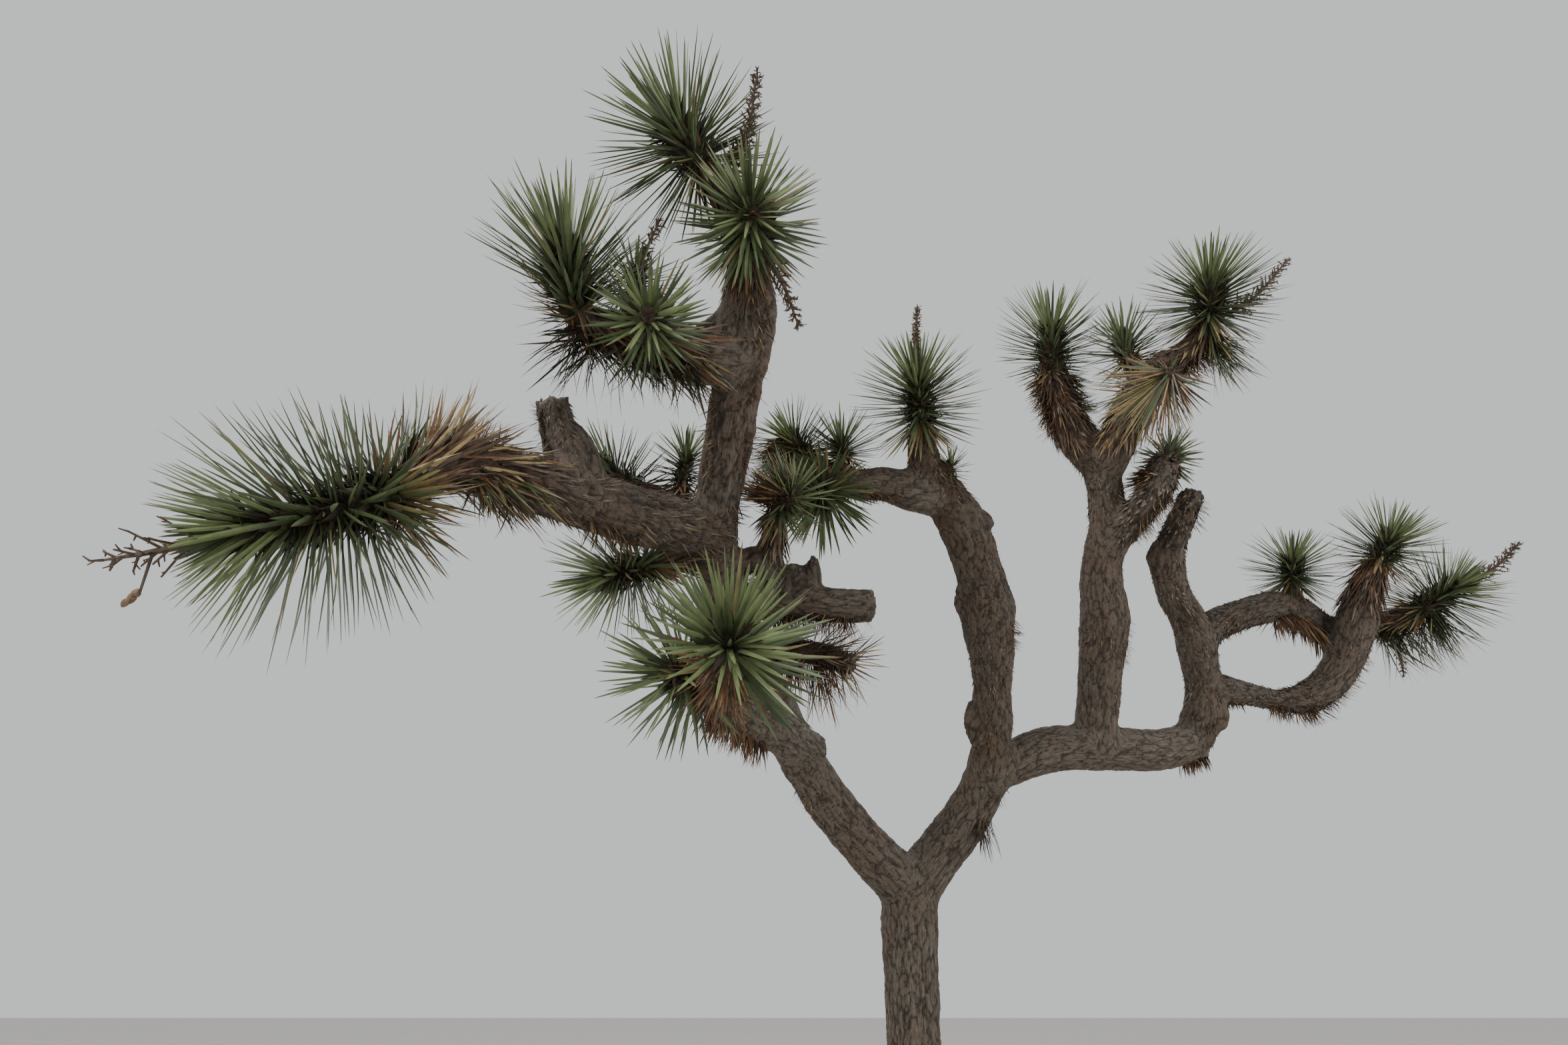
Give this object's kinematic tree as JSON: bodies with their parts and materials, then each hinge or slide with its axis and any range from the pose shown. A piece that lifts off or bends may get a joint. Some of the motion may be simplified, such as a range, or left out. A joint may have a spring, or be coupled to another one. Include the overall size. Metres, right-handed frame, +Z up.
{
  "type": "joshua tree",
  "caption": "Rooted desert tree with a forking trunk, shaggy boughs and round rosettes of dagger leaves at their tips.",
  "frame": {"origin": "middle of the flat cut under the trunk, at ground level", "axes": "+Z up the trunk, +X towards the long right-hand arm, -Y towards the side that the picture shows"},
  "size_m": [6.1901, 3.3316, 4.8495],
  "materials": {
    "bark": "deeply fissured grey-brown bark with dead leaf thatch",
    "green_leaves": "stiff olive-green dagger leaves with pale edges",
    "dead_leaves": "dry straw-brown dagger leaves"
  },
  "bodies": {
    "root": {"arch_bough": "bark", "arch_end_rosette": "green_leaves", "arch_low_rosette": "green_leaves", "arch_top_rosette": "green_leaves", "broken_bough": "bark", "broken_bough_top": "bark", "crown_bough": "bark", "crown_rosette": "green_leaves", "dead_rosette": "dead_leaves", "drooping_bough": "bark", "far_bough": "bark", "far_bough_tip": "bark", "far_side_rosette": "green_leaves", "far_tip_rosette": "green_leaves", "high_bough": "bark", "high_rosette": "green_leaves", "inner_left_bough": "bark", "inner_left_rosette": "green_leaves", "inner_left_small_rosette": "green_leaves", "knobbed_bough": "bark", "knobbed_rosette": "green_leaves", "left_bough": "bark", "long_arm": "bark", "long_bough": "bark", "loop_bough": "bark", "loop_bough_upper": "bark", "loop_rosette": "green_leaves", "low_left_bough": "bark", "low_left_rosette": "green_leaves", "middle_bough": "bark", "middle_bough_upper": "bark", "middle_rosette": "green_leaves", "middle_side_rosette": "green_leaves", "near_bough": "bark", "near_rosette": "green_leaves", "near_side_rosette": "green_leaves", "right_bough": "bark", "sawn_stub": "bark", "small_left_bough": "bark", "small_left_rosette": "green_leaves", "snapped_stub": "bark", "tall_bough": "bark", "tall_bough_upper": "bark", "tall_left_fork": "bark", "tall_left_rosette": "green_leaves", "tall_middle_rosette": "green_leaves", "tall_right_bough": "bark", "tall_right_fork": "bark", "tall_right_rosette": "green_leaves", "tan_rosette": "dead_leaves", "trunk": "bark", "upper_left_bough": "bark", "upper_left_front_rosette": "green_leaves", "upper_left_rosette": "green_leaves", "upper_left_top_rosette": "green_leaves", "upright_bough": "bark", "upright_rosette": "green_leaves"}
  },
  "joints": []
}
